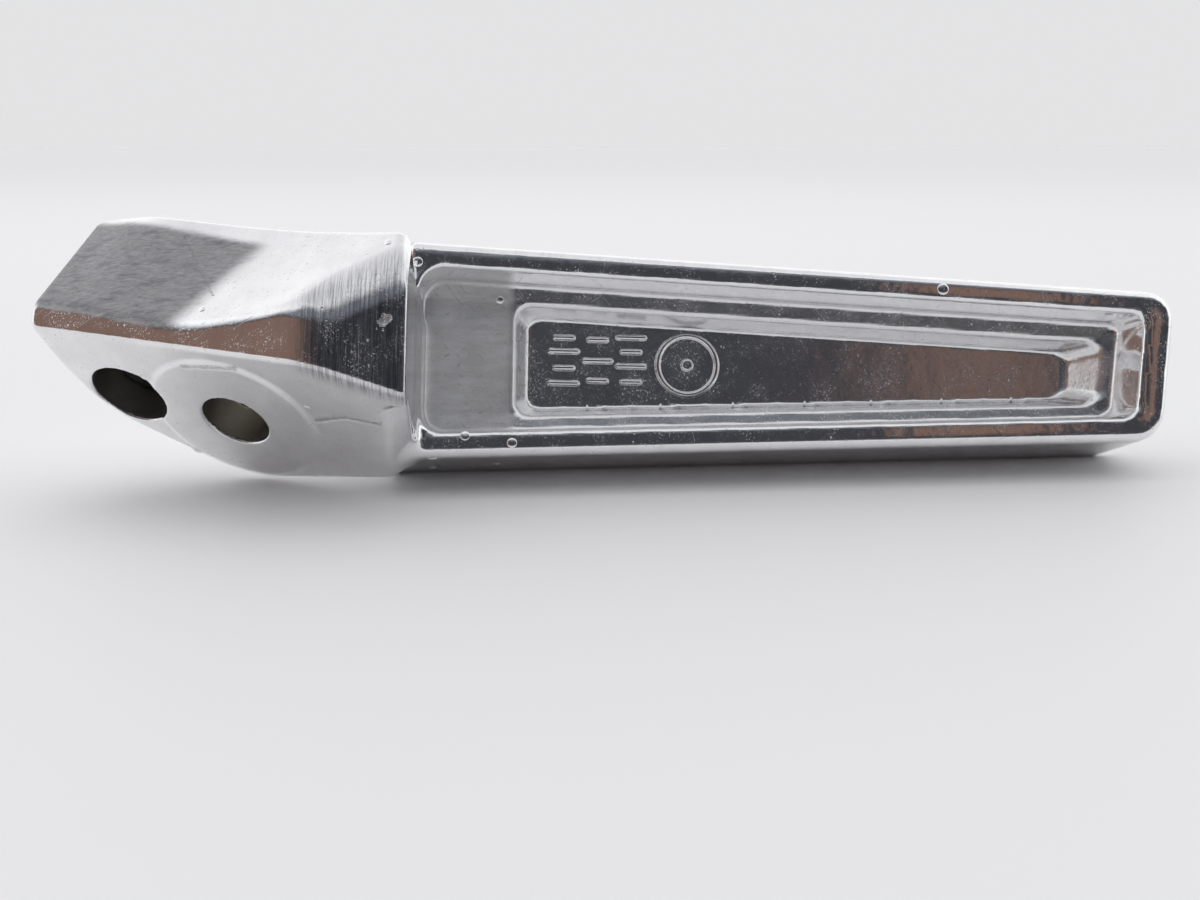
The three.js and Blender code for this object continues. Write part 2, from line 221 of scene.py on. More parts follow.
near_top = eased_curve([
    (-30, -10.4), (-23.5, -11.0), (-12.5, -12.0), (-4.3, -13.0), (3, -15.2), (9, -17.45), (18, -19.9),
    (27, -22.4),
], 1.6)
far_top = eased_curve([
    (-30, -7.5), (-21.6, -10.6), (-16.2, -13.0), (-4.4, -14.6), (3.3, -15.9), (9.6, -17.45), (18, -19.9),
    (27, -22.4),
], 1.6)
chin_line = eased_curve([
    (-14, -24.6), (-10.4, -23.9), (-6.43, -22.87), (-2.7, -21.48), (0.78, -19.72), (4.0, -17.6),
    (5.4, -16.2), (7, -13.0),
], 0.8)
heel_turn = np.radians(np.linspace(118, 70, 13))
sole_line = eased_curve(
    [(-18, 4.3), (-13.9, 6.4)]
    + list(zip(11.6 * np.cos(heel_turn), 11.6 * np.sin(heel_turn)))
    + [(18.6, 5.5), (27, 0.0)],
    0.8,
)


def in_pin_frame(x, y, z):
    """The same points along the tongue, across it, and in from its near cheek along the pivot bore."""
    points = np.stack([x, y, z], axis=-1) - pin_centre
    return np.moveaxis(points @ pin_frame, -1, 0)


tongue_thick = 18.0
boss_radius, boss_proud = 10.4, 0.3
nose_fall = np.radians(14.5)
nose_start = -21.2
side_round, near_round, far_round = 2.5, 0.9, 1.2
top_round, nose_round, sharp_round = 0.8, 0.5, 0.45
notch_at, notch_level, notch_corner, notch_edge = 19.2, -9.6, 1.2, 0.4


def tongue_body(x, y, z):
    """The hinge tongue: a slab between two cheeks, hollowed on top, with a crown facet, a sloping nose
    facet and an end wall. The boss round the pivot bore stands a little proud of the near cheek."""
    u, v, w = in_pin_frame(x, y, z)
    share = np.clip(w / tongue_thick, 0, 1)
    top = (1 - share) * np.interp(u, *near_top) + share * np.interp(u, *far_top)
    hollow = (top - v) / 1.03
    chin = (np.interp(v, *chin_line) - u) / 1.15
    sole = (v - np.interp(u, *sole_line)) / 1.06
    side = round_and(chin, sole, side_round)
    boss = boss_proud * (1 - soft_step(np.hypot(u, v), boss_radius - 0.5, boss_radius + 0.5))
    near = -w - boss
    shape = round_and(side, near, near_round)
    shape = round_and(shape, w - tongue_thick, far_round)
    shape = round_and(shape, hollow, top_round)
    nose = (crown_level - np.tan(nose_fall) * (x - nose_start) - y) * np.cos(nose_fall)
    crown = round_and(crown_level - y, nose, nose_round)
    soft = sharp_round + 1.7 * soft_step(x, -25, -17) * soft_step(z, -3, 1)
    shape = round_and(shape, crown, soft)
    shape = round_and(shape, x - ridge_at(y), sharp_round + 1.4 * soft_step(z, 4, 9))
    notch = round_and((w - (u - notch_at)) / np.sqrt(2), notch_level - v, notch_corner)
    return round_and(shape, -notch, notch_edge)


pin_bore, bush_bore, flange_bore, detent_bore = 4.1, 5.3, 7.2, 4.675
bush_depth, flange_depth, mouth_depth = 5.0, 16.5, 15.8
mouth_taper = 0.375


def tongue_bores(x, y, z):
    """The two parallel bores: the pivot's, which widens for the bush and its flange, and the detent's,
    which narrows to a seat at the far cheek."""
    u, v, w = in_pin_frame(x, y, z)
    pivot = np.hypot(u, v)
    shape = pivot - pin_bore
    shape = np.minimum(shape, np.maximum(pivot - bush_bore, bush_depth - w))
    shape = np.minimum(shape, np.maximum(pivot - flange_bore, flange_depth - w))
    seat = detent_bore - mouth_taper * np.maximum(w - mouth_depth, 0)
    return np.minimum(shape, np.hypot(u + ball_pitch, v) - seat)


groove_start, groove_end, groove_floor = 3.0, 77.0, 11.3
groove_half, groove_lane = 2.2, 0.58
point_blunt, point_length = 0.45, 1.2


def pointed(to_end):
    """The share of its full width that a groove or rubber has at a distance from its end."""
    return np.clip(point_blunt + (1 - point_blunt) * to_end / point_length, point_blunt, 1)


def tread_grooves(x, y, z):
    """The three straight grooves in the tread face that hold the rubbers; they fan out to the root."""
    half = groove_half * pointed(np.minimum(x - groove_start, groove_end - x))
    shape = np.minimum(np.abs(z), np.abs(np.abs(z) - groove_lane * rim_half(x))) - half
    shape = np.maximum(shape, np.maximum(groove_start - x, x - groove_end))
    return np.maximum(shape, groove_floor - y)


trough_edge, tongue_fillet, groove_edge, bore_edge = 0.5, 1.6, 0.2, 0.35


def casting_shape(points):
    """Distance from the casting's skin, negative inside it."""
    x, y, z = points.T
    bar = round_and(bar_body(x, y, z), -bar_hollow(x, y, z), trough_edge)
    shape = round_or(bar, tongue_body(x, y, z), tongue_fillet)
    shape = round_and(shape, -tread_grooves(x, y, z), groove_edge)
    return round_and(shape, -tongue_bores(x, y, z), bore_edge)


def casting_slope(points):
    """The gradient of that distance, from its values a hundredth of a millimetre to either side."""
    step = 0.01
    slope = np.empty_like(points)
    for axis in range(3):
        shift = np.zeros(3)
        shift[axis] = step
        slope[:, axis] = casting_shape(points + shift) - casting_shape(points - shift)
    return slope / (2 * step)


# The model's casting, remeshed evenly in the bar's own frame, gives the points to start from. The bar is
# shortened while it is remeshed, so that its faces come out longer than they are wide.
squeeze_from = -6.0
squeeze = 0.5


def squeezed(points, back=False):
    """The bar's length shortened past a place near its root, or brought back to what it was."""
    out = points.copy()
    past = np.maximum(points[:, 0] - squeeze_from, 0)
    out[:, 0] += past * ((1 / squeeze - 1) if back else (squeeze - 1))
    return out


def mesh_points(mesh):
    """The places of a mesh's vertices as one array."""
    flat = np.empty(3 * len(mesh.vertices))
    mesh.vertices.foreach_get("co", flat)
    return flat.reshape(-1, 3)


casting_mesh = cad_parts["peg_casting"].data.copy()
casting_mesh.name = "polished_casting"
casting = bpy.data.objects.new("polished_casting", casting_mesh)
bpy.context.scene.collection.objects.link(casting)
casting_mesh.vertices.foreach_set("co", squeezed(from_row(mesh_points(casting_mesh))).ravel())
weld = casting.modifiers.new("weld", "WELD")
weld.merge_threshold = 0.0005
remesh = casting.modifiers.new("remesh", "REMESH")
remesh.mode = "VOXEL"
remesh.voxel_size = 0.37
remesh.adaptivity = 0
bpy.context.view_layer.update()
fine_mesh = bpy.data.meshes.new_from_object(casting.evaluated_get(bpy.context.evaluated_depsgraph_get()))
casting.modifiers.clear()
casting.data = fine_mesh
bpy.data.meshes.remove(casting_mesh)
fine_mesh.name = "polished_casting"

# Each point goes to the shape's skin along its slope. Between the rounds the points are evened out along
# the skin, towards the middle of their neighbours.
skin = squeezed(mesh_points(fine_mesh), back=True)
edges = np.empty(2 * len(fine_mesh.edges), np.int64)
fine_mesh.edges.foreach_get("vertices", edges)
edges = edges.reshape(-1, 2)
edge_count = np.bincount(edges.ravel(), minlength=len(skin))


def to_skin(points, rounds):
    """Points moved onto the shape's skin: each step is the distance left, along the slope."""
    for _ in range(rounds):
        slope = casting_slope(points)
        steep = np.maximum((slope**2).sum(axis=1), 0.05)
        step = (casting_shape(points) / steep)[:, None] * slope
        length = np.linalg.norm(step, axis=1)[:, None]
        points = points - step * np.minimum(1, 0.4 / np.maximum(length, 1e-9))
    return points


skin = to_skin(skin, 3)
for _ in range(4):
    middle = np.stack([
        np.bincount(edges[:, 0], skin[edges[:, 1], axis], len(skin))
        + np.bincount(edges[:, 1], skin[edges[:, 0], axis], len(skin))
        for axis in range(3)
    ], axis=1) / edge_count[:, None]
    skin = to_skin(skin + 0.5 * (middle - skin), 1)
skin = to_skin(skin, 2)
skin_normal = casting_slope(skin)
skin_normal /= np.linalg.norm(skin_normal, axis=1)[:, None]
fine_mesh.vertices.foreach_set("co", to_row(skin).ravel())
fine_mesh.shade_smooth()
fine_mesh.normals_split_custom_set_from_vertices(skin_normal @ bar_turn.T)

# The finish differs over the skin: the crown facet is brushed, and its colour is also darkened there as a
# painted reflection of the dark room that it faces; the hollow's outer half is sanded dull, and the trough
# keeps the die's grain, most of all on its shelf at the root. Those masks and the place in the bar's frame
# are kept on the points.
u_skin, v_skin, w_skin = in_pin_frame(*skin.T)
x_skin, y_skin, z_skin = skin.T
on_tongue = soft_step(-x_skin, 9.0, 10.5)
hollow_near = np.interp(u_skin, *near_top)
hollow_level = hollow_near + w_skin / tongue_thick * (np.interp(u_skin, *far_top) - hollow_near)
on_crown = on_tongue * (1 - soft_step(np.abs(y_skin - crown_level), 0.5, 2.4)) * soft_step(x_skin, -24, -20)
sanded_skin = (
    on_tongue
    * (1 - soft_step(v_skin - hollow_level, 0.1, 0.6))
    * (1 - soft_step(u_skin, -5.4 + 0.5 * (w_skin - 7), -2.4 + 0.5 * (w_skin - 7)))
    * (1 - soft_step(w_skin, 16.0 - 0.09 * (u_skin + 19), 17.2 - 0.09 * (u_skin + 19)))
)
in_trough = soft_step(y_skin, 2.5, 4.5) * soft_step(rim_half(x_skin) - np.abs(z_skin), 2.9, 3.6)
in_trough *= soft_step(x_skin, -10.5, -9.5) * soft_step(bar_tip - x_skin, 4.0, 5.5)
in_trough *= 1 - soft_step(y_skin, 9.5, 10.0)
root_shelf = in_trough * (1 - soft_step(x_skin, 0.5, 2.6)) * soft_step(x_skin, -9.9, -8.6)
deep_pocket = in_trough * soft_step(y_skin, 7.9, 8.7)
in_bores = np.maximum(
    (1 - soft_step(np.hypot(u_skin, v_skin), 4.2, 4.5)) * soft_step(w_skin, 0.1, 0.5),
    (1 - soft_step(np.hypot(u_skin + ball_pitch, v_skin), 4.7, 5.0)) * soft_step(w_skin, 0.1, 0.5),
) * on_tongue


def keep_mask(mesh, name, value):
    """A number for each point of the mesh, as an attribute that its material reads."""
    mesh.attributes.new(name, "FLOAT", "POINT").data.foreach_set("value", value.astype(np.float32))


def keep_place(mesh, points):
    """Each point's place in the bar's own frame, in millimetres, as an attribute for the patterns."""
    layer = mesh.attributes.new("bar_place", "FLOAT_VECTOR", "POINT")
    layer.data.foreach_set("vector", points.astype(np.float32).ravel())


keep_place(fine_mesh, skin)
# This mask marks the brushed crown facet, which is also painted dark as a painted reflection of the dark
# room.
keep_mask(fine_mesh, "brushed_and_painted_dark", np.clip(on_crown, 0, 1))
keep_mask(fine_mesh, "sanded", np.clip(sanded_skin, 0, 1))
keep_mask(fine_mesh, "grained", np.clip(0.45 * in_trough + 0.55 * root_shelf - 0.2 * deep_pocket, 0, 1))
keep_mask(fine_mesh, "bored", np.clip(in_bores, 0, 1))


class Nodes:
    """A node tree being written: each call adds one node and returns the output that is wanted."""

    def __init__(self, tree):
        self.tree = tree

    def put(self, kind, inputs=(), output=0, **settings):
        node = self.tree.nodes.new(kind)
        for key, value in settings.items():
            setattr(node, key, value)
        for key, value in dict(inputs).items():
            if isinstance(value, bpy.types.NodeSocket):
                self.tree.links.new(value, node.inputs[key])
            else:
                node.inputs[key].default_value = value
        return node.outputs[output]

    def math(self, operation, first, second=0.0):
        return self.put("ShaderNodeMath", {0: first, 1: second}, operation=operation)

    def vector(self, operation, first, second=(0, 0, 0), output=0):
        return self.put("ShaderNodeVectorMath", {0: first, 1: second}, output, operation=operation)

    def noise(self, place, scale, detail=3.0, rough=0.55):
        return self.put("ShaderNodeTexNoise",
                        {"Vector": place, "Scale": scale, "Detail": detail, "Roughness": rough})

    def stretched(self, place, scale, turn=(0, 0, 0)):
        return self.put("ShaderNodeMapping", {"Vector": place, "Scale": scale, "Rotation": turn})

    def ease(self, value, low, high, start=0.0, end=1.0):
        return self.put("ShaderNodeMapRange",
                        {"Value": value, "From Min": low, "From Max": high, "To Min": start, "To Max": end},
                        interpolation_type="SMOOTHSTEP")

    def blend(self, factor, first, second):
        return self.put("ShaderNodeMix", {0: factor, 6: first, 7: second}, output=2, data_type="RGBA")

    def mask(self, name):
        return self.put("ShaderNodeAttribute", output=2, attribute_name=name)

    def place(self, name):
        return self.put("ShaderNodeAttribute", output=1, attribute_name=name)


def new_group(name, inputs, outputs):
    """A shader node group with the named inputs and outputs, and its writer."""
    group = bpy.data.node_groups.new(name, "ShaderNodeTree")
    for label, kind, default in inputs:
        socket = group.interface.new_socket(label, in_out="INPUT", socket_type=kind)
        if default is not None:
            socket.default_value = default
    for label, kind in outputs:
        group.interface.new_socket(label, in_out="OUTPUT", socket_type=kind)
    entry = group.nodes.new("NodeGroupInput")
    leave = group.nodes.new("NodeGroupOutput")
    return group, Nodes(group), entry, leave


def place_group(nodes, group, inputs):
    """The group placed in a material's tree with that material's own values."""
    node = nodes.tree.nodes.new("ShaderNodeGroup")
    node.node_tree = group
    for key, value in inputs.items():
        if isinstance(value, bpy.types.NodeSocket):
            nodes.tree.links.new(value, node.inputs[key])
        else:
            node.inputs[key].default_value = value
    return node.outputs


# Metal handling marks: soft waves left by the polishing wheel, fine pits, and short scratches in two
# directions. Height is what they do to the surface, Dull where they roughen it.
handling, n, entry, leave = new_group(
    "metal_handling_marks",
    [("Place", "NodeSocketVector", None), ("Waves", "NodeSocketFloat", 1.0),
     ("Pits", "NodeSocketFloat", 1.0), ("Scratches", "NodeSocketFloat", 1.0)],
    [("Height", "NodeSocketFloat"), ("Dull", "NodeSocketFloat")],
)
waves = n.math("MULTIPLY", n.noise(entry.outputs["Place"], 0.32, 2.0), entry.outputs["Waves"])
pit_cells = n.put("ShaderNodeTexVoronoi", {"Vector": entry.outputs["Place"], "Scale": 1.15})
pit_patch = n.ease(n.noise(entry.outputs["Place"], 0.21, 2.0), 0.5, 0.68)
pits = n.math("MULTIPLY", n.ease(pit_cells, 0.2, 0.06), n.math("MULTIPLY", pit_patch, entry.outputs["Pits"]))
lines = []
for turn, width in (((0.3, 0.5, 0.35), (0.12, 5.0, 5.0)), ((1.1, -0.4, -0.8), (0.16, 6.0, 6.0))):
    turned_place = n.stretched(entry.outputs["Place"], (1, 1, 1), turn)
    lines.append(n.ease(n.noise(n.stretched(turned_place, width), 1.0, 1.0), 0.7, 0.76))
scratches = n.math("MULTIPLY", n.math("MAXIMUM", *lines), entry.outputs["Scratches"])
height = n.math("SUBTRACT", waves, n.math("MULTIPLY", pits, 0.35))
height = n.math("SUBTRACT", height, n.math("MULTIPLY", scratches, 0.05))
n.tree.links.new(height, leave.inputs["Height"])
n.tree.links.new(n.math("MAXIMUM", n.math("MULTIPLY", pits, 0.6), scratches), leave.inputs["Dull"])

# Brush lines: fine parallel lines along one direction of the piece, some brighter and some deeper.
brush, n, entry, leave = new_group(
    "brush_lines",
    [("Place", "NodeSocketVector", None), ("Fineness", "NodeSocketVector", (4.0, 0.2, 0.2))],
    [("Lines", "NodeSocketFloat")],
)
fine = n.put("ShaderNodeVectorMath", {0: entry.outputs["Place"], 1: entry.outputs["Fineness"]},
             operation="MULTIPLY")
n.tree.links.new(n.noise(fine, 1.0, 4.0, 0.7), leave.inputs["Lines"])

# A scored line: a scratch or gouge along a straight way between two places, which wanders a little and
# whose edge is broken. Line is 1 in its middle.
scored, n, entry, leave = new_group(
    "scored_line",
    [("Place", "NodeSocketVector", None), ("From", "NodeSocketVector", (0, 0, 0)),
     ("To", "NodeSocketVector", (1, 0, 0)), ("Width", "NodeSocketFloat", 0.3)],
    [("Line", "NodeSocketFloat")],
)
way = n.vector("SUBTRACT", entry.outputs["To"], entry.outputs["From"])
off = n.vector("SUBTRACT", entry.outputs["Place"], entry.outputs["From"])
share = n.math("DIVIDE", n.vector("DOT_PRODUCT", off, way, 1), n.vector("DOT_PRODUCT", way, way, 1))
share = n.put("ShaderNodeClamp", {0: share})
nearest = n.put("ShaderNodeVectorMath", {0: way, 3: share}, operation="SCALE")
aside = n.vector("LENGTH", n.vector("SUBTRACT", off, nearest), (0, 0, 0), 1)
wander = n.ease(n.noise(entry.outputs["Place"], 1.4, 4.0, 0.7), 0.2, 0.8, -0.5, 0.5)
aside = n.math("ADD", aside, n.math("MULTIPLY", wander, entry.outputs["Width"]))
n.tree.links.new(n.put("ShaderNodeMapRange", {"Value": aside, "From Min": entry.outputs["Width"],
                                              "From Max": 0.0, "To Min": 0.0, "To Max": 1.0}),
                 leave.inputs["Line"])

polished = bpy.data.materials.new("polished_plated_casting")
polished.use_nodes = True
n = Nodes(polished.node_tree)
shader = polished.node_tree.nodes["Principled BSDF"]
place = n.place("bar_place")
brushed_and_painted_dark, sanded, grained = n.mask("brushed_and_painted_dark"), n.mask("sanded"), n.mask("grained")
bored = n.mask("bored")
marks = place_group(n, handling, {"Place": place, "Waves": 0.5, "Pits": 1.0, "Scratches": 0.8})
facet_lines = place_group(n, brush, {"Place": place, "Fineness": (6.0, 0.3, 0.22)})["Lines"]
sand_lines = place_group(n, brush, {"Place": place, "Fineness": (0.5, 5.0, 5.0)})["Lines"]
grain = n.noise(place, 2.6, 5.0, 0.65)
patches = n.noise(place, 0.28, 3.0)
speckle = n.ease(n.noise(place, 5.5, 2.0, 0.6), 0.6, 0.75)
blotch = n.noise(n.stretched(place, (0.35, 1.2, 1.2)), 0.6, 4.0, 0.7)
gouges = 0.0
for start, end, width in (
    ((-36.0, -5.8, -3.8), (-29.6, -8.0, -4.2), 0.42),
    ((-37.4, -1.8, 12.3), (-32.6, -7.0, 4.4), 0.2),
    ((-21.0, -3.36, -9.48), (-17.5, -5.44, -9.3), 0.45),
    ((-17.5, -5.44, -9.3), (-13.4, -6.17, -10.13), 0.4),
    ((-12.7, -12.1, 0.9), (-12.3, -12.1, 1.2), 0.6),
):
    line = place_group(n, scored, {"Place": place, "From": start, "To": end, "Width": width})["Line"]
    gouges = n.math("MAXIMUM", line, gouges)

tone = n.blend(n.ease(patches, 0.3, 0.75), (0.86, 0.86, 0.87, 1), (0.94, 0.94, 0.95, 1))
tone = n.blend(n.math("MULTIPLY", grained, n.ease(blotch, 0.3, 0.7, 0.35, 0.85)), tone,
               (0.62, 0.62, 0.625, 1))
tone = n.blend(n.math("MULTIPLY", sanded, n.ease(sand_lines, 0.25, 0.8, 1.0, 0.72)), tone,
               (0.27, 0.27, 0.28, 1))
tone = n.blend(n.math("MULTIPLY", sanded, n.ease(blotch, 0.45, 0.7, 0.0, 0.8)), tone, (0.16, 0.16, 0.18, 1))
# The crown facet's dark tone is painted reflection: a dark colour standing in for the dark room that the
# facet mirrors. Its brush lines are real.
tone = n.blend(n.math("MULTIPLY", brushed_and_painted_dark, n.ease(facet_lines, 0.35, 0.62, 0.8, 0.15)), tone,
               (0.22, 0.225, 0.25, 1))
tone = n.blend(n.math("MULTIPLY", marks["Dull"], 0.5), tone, (0.25, 0.25, 0.26, 1))
tone = n.blend(n.math("MULTIPLY", gouges, 0.45), tone, (0.3, 0.29, 0.28, 1))
tone = n.blend(n.math("MULTIPLY", bored, n.ease(patches, 0.3, 0.8, 0.95, 0.8)), tone, (0.42, 0.41, 0.38, 1))
n.tree.links.new(tone, shader.inputs["Base Color"])

grain_dulls = n.math("MULTIPLY", grained, n.ease(grained, 0.3, 0.9, 0.24, 0.5))
rough = n.math("ADD", n.ease(patches, 0.3, 0.8, 0.06, 0.14), grain_dulls)
rough = n.math("ADD", rough, n.math("MULTIPLY", sanded, n.ease(blotch, 0.35, 0.7, 0.46, 0.24)))
rough = n.math("ADD", rough, n.math("MULTIPLY", brushed_and_painted_dark, n.ease(facet_lines, 0.55, 0.75, 0.02, 0.26)))
rough = n.math("ADD", rough, n.math("MULTIPLY", marks["Dull"], 0.22))
rough = n.math("ADD", rough, n.math("MULTIPLY", speckle, 0.06))
rough = n.math("ADD", rough, n.math("MULTIPLY", bored, 0.3))
n.tree.links.new(rough, shader.inputs["Roughness"])

relief = n.math("ADD", marks["Height"], n.math("MULTIPLY", n.math("MULTIPLY", grain, grained), 0.4))
relief = n.math("ADD", relief, n.math("MULTIPLY", n.math("MULTIPLY", sand_lines, sanded), 0.2))
relief = n.math("ADD", relief, n.math("MULTIPLY", n.math("MULTIPLY", facet_lines, brushed_and_painted_dark), 0.14))
relief = n.math("ADD", relief, n.math("MULTIPLY", speckle, n.ease(patches, 0.4, 0.65, 0.03, 0.16)))
relief = n.math("ADD", relief, n.math("MULTIPLY", n.noise(place, 1.1, 2.0), 0.05))
relief = n.math("SUBTRACT", relief, n.math("MULTIPLY", gouges, 1.1))
bump = n.put("ShaderNodeBump", {"Height": relief, "Distance": 0.0001, "Strength": 1.0})
n.tree.links.new(bump, shader.inputs["Normal"])
shader.inputs["Metallic"].default_value = 1
fine_mesh.materials.clear()
fine_mesh.materials.append(polished)
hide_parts("peg_casting")
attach(casting, "peg")

# ---------------------------------------------------------------- cast marks in the trough
# The die leaves low raised marks on the pocket's floor, softened by the polishing: a plain ring with a dot,
# and rows of plain strokes. They are one with the casting, so they ride with it.

mark_x, mark_z = np.meshgrid(np.linspace(5.4, 29.8, 350), np.linspace(-4.9, 4.9, 142), indexing="ij")


def stroke(start, end, half_width):
    """A raised stroke's height: 1 within half its width of the straight way between its ends, and 0 from
    0.4 mm further out, with a soft edge between."""
    start, end = np.array(start, float), np.array(end, float)
    way = end - start
    share = ((mark_x - start[0]) * way[0] + (mark_z - start[1]) * way[1]) / max(way @ way, 1e-9)
    share = np.clip(share, 0, 1)
    aside = np.hypot(mark_x - start[0] - share * way[0], mark_z - start[1] - share * way[1])
    return 1 - soft_step(aside, half_width, half_width + 0.42)


from_ring = np.abs(np.hypot(mark_x - 24.7, mark_z - 0.1) - 3.9)
mark_height = 1 - soft_step(from_ring, 0.1, 0.5)
mark_height = np.maximum(mark_height, stroke((24.7, 0.1), (24.7, 0.1), 0.55))
long_reach, short_reach = 1.7, 1.1
for row, first_long, places in (
    (8.5, False, (3.4, 1.6, -0.6, -2.6)),
    (12.9, False, (3.2, 0.4, -2.2)),
    (17.3, True, (3.6, 1.7, -0.2, -2.3)),
):
    for number, place_z in enumerate(places):
        reach = long_reach if (number + first_long) % 2 else short_reach
        mark_height = np.maximum(mark_height, stroke((row - reach, place_z), (row + reach, place_z), 0.1))
mark_sink, mark_proud = 0.04, 0.36
mark_top = np.stack([mark_x, floor_level + mark_sink - mark_proud * mark_height, mark_z], axis=-1)
point_number = np.arange(mark_x.size).reshape(mark_x.shape)
mark_faces = np.stack([
    point_number[:-1, :-1], point_number[1:, :-1], point_number[1:, 1:], point_number[:-1, 1:],
], axis=-1).reshape(-1, 4).tolist()
border = np.concatenate([
    point_number[:, 0], point_number[-1, 1:], point_number[-2::-1, -1], point_number[0, -2:0:-1],
])
mark_sunk = mark_top.reshape(-1, 3)[border] + [0, 0.3, 0]
sunk_number = mark_x.size + np.arange(len(border))
mark_faces += np.stack([
    border, sunk_number, np.roll(sunk_number, -1), np.roll(border, -1),
], axis=-1).tolist()
mark_faces.append(sunk_number[::-1].tolist())
mark_points = np.concatenate([mark_top.reshape(-1, 3), mark_sunk])
cast_marks = new_piece("cast_marks", mark_points, mark_faces, polished)
keep_place(cast_marks.data, mark_points)
keep_mask(cast_marks.data, "grained", np.full(len(mark_points), 0.25))
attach(cast_marks, "peg")

# ---------------------------------------------------------------- blisters in the plating
# The plating has lifted in a few small round blisters round the hinge end and along the rails, each a
# low dome grown out of the skin.


def turned_shape(profile, steps, closed=False):
    """A profile of (radius, height) turned about its axis: each point makes a ring of steps points at equal
    angles. A radius of 0 at either end closes it there; a closed profile's last ring joins its first.
    Returns points (radius times cosine, radius times sine, height) and faces that look outwards."""
    angle = 2 * np.pi * np.arange(steps) / steps
    points, rings, faces = [], [], []
    for radius, height in profile:
        count = 1 if radius < 1e-9 else steps
        rings.append(len(points) + np.arange(count))
        for turn in angle[:count]:
            points.append((radius * np.cos(turn), radius * np.sin(turn), height))
    pairs = list(zip(rings, rings[1:])) + ([(rings[-1], rings[0])] if closed else [])
    for low, high in pairs:
        for here in range(steps):
            after = (here + 1) % steps
            corner = [low[here % len(low)], low[after % len(low)], high[after % len(high)],
                      high[here % len(high)]]
            faces.append([int(k) for i, k in enumerate(corner) if k != corner[i - 1]])
    return np.array(points), faces


blister_places = np.array([
    [-7.69, 1.38, -13.36], [-8.1, 8.59, -13.94], [-3.83, 0.29, -10.59], [0.06, 6.52, -13.46],
    [1.87, 0.0, -11.37], [-12.69, -9.27, 10.61], [-33.54, -7.81, 2.59], [-37.88, 9.49, -12.04],
    [-21.92, -5.07, -8.18], [-9.97, 0.29, 10.76], [0.1, 5.41, 7.42], [56.09, 0.01, 9.16],
])
blister_radius = np.array([0.62, 0.5, 0.6, 0.45, 0.62, 0.5, 0.42, 0.6, 0.42, 0.62, 0.5, 0.75])
blister_seat = to_skin(blister_places, 8)
blister_up = casting_slope(blister_seat)
blister_up /= np.linalg.norm(blister_up, axis=1)[:, None]
dome = np.radians(np.linspace(-90, 90, 17))
dome_points, dome_faces = turned_shape(list(zip(np.cos(dome).round(12), 0.27 * np.sin(dome))), 24)
blister_points, blister_faces = [], []
for seat, up, radius in zip(blister_seat, blister_up, blister_radius):
    side = np.cross(up, [0.3, 0.2, 1.0])
    side /= np.linalg.norm(side)
    turn = np.stack([side, np.cross(up, side), up], axis=1)
    blister_faces += [[k + len(blister_points) * len(dome_points) for k in face] for face in dome_faces]
    blister_points.append(seat + radius * dome_points @ turn.T)
blister_points = np.concatenate(blister_points)
blisters = new_piece("plating_blisters", blister_points, blister_faces, polished)
keep_place(blisters.data, blister_points)
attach(blisters, "peg")

# ---------------------------------------------------------------- pivot bush
# A sintered bronze bush pressed into the pivot bore from the far cheek, with a thin flange that takes the
# bracket's side load. It is dark with old oil, and its bore keeps fine turning rings.


def rounded_profile(corners, radius, steps=5, closed=False):
    """A profile with its corners rounded: each is replaced by a short curve that leaves one side and joins
    the other at the radius's distance, by the quadratic through the corner. Ends of an open one stay."""
    corners = np.array(corners, float)
    out = []
    for i, corner in enumerate(corners):
        if not closed and i in (0, len(corners) - 1):
            out.append(corner)
            continue
        before = corners[i - 1] - corner
        after = corners[(i + 1) % len(corners)] - corner
        cut_before = min(radius, 0.45 * np.linalg.norm(before))
        cut_after = min(radius, 0.45 * np.linalg.norm(after))
        first = corner + before / np.linalg.norm(before) * cut_before
        last = corner + after / np.linalg.norm(after) * cut_after
        for share in np.linspace(0, 1, steps):
            out.append((1 - share) ** 2 * first + 2 * share * (1 - share) * corner + share**2 * last)
    return out


def pin_piece(name, points, faces, material, node, body):
    """A piece made in the pin's frame, whose place there is kept for its patterns. It stands for a node of
    the model and moves with that node's body."""
    piece = new_piece(name, pin_centre + points @ pin_frame.T, faces, material)
    layer = piece.data.attributes.new("pin_place", "FLOAT_VECTOR", "POINT")
    layer.data.foreach_set("vector", points.astype(np.float32).ravel())
    piece.modifiers.new("even_normals", "WEIGHTED_NORMAL")
    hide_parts(node)
    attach(piece, body)
    return piece


def machined_metal(name, dark, light, rough_low, rough_high, ring_scale, waves, scratches):
    """A metal material for a turned piece: its tone goes between two colours in soft patches, and its
    turning rings and handling marks come from the shared groups."""
    material = bpy.data.materials.new(name)
    material.use_nodes = True
    n = Nodes(material.node_tree)
    shader = material.node_tree.nodes["Principled BSDF"]
    place = n.place("pin_place")
    marks = place_group(n, handling, {"Place": place, "Waves": waves, "Pits": 1.0, "Scratches": scratches})
    rings = place_group(n, brush, {"Place": place, "Fineness": (0.15, 0.15, ring_scale)})["Lines"]
    patches = n.noise(place, 0.45, 4.0, 0.6)
    tone = n.blend(n.ease(patches, 0.35, 0.7), (*dark, 1), (*light, 1))
    tone = n.blend(n.math("MULTIPLY", marks["Dull"], 0.5), tone, (*(0.4 * value for value in dark), 1))
    n.tree.links.new(tone, shader.inputs["Base Color"])
    rough = n.ease(patches, 0.35, 0.7, rough_low, rough_high)
    rough = n.math("ADD", rough, n.ease(rings, 0.3, 0.8, 0.0, 0.1))
    rough = n.math("ADD", rough, n.math("MULTIPLY", marks["Dull"], 0.2))
    n.tree.links.new(rough, shader.inputs["Roughness"])
    relief = n.math("ADD", marks["Height"], n.math("MULTIPLY", rings, 0.25))
    bump = n.put("ShaderNodeBump", {"Height": relief, "Distance": 0.00006, "Strength": 1.0})
    n.tree.links.new(bump, shader.inputs["Normal"])
    shader.inputs["Metallic"].default_value = 1
    return material


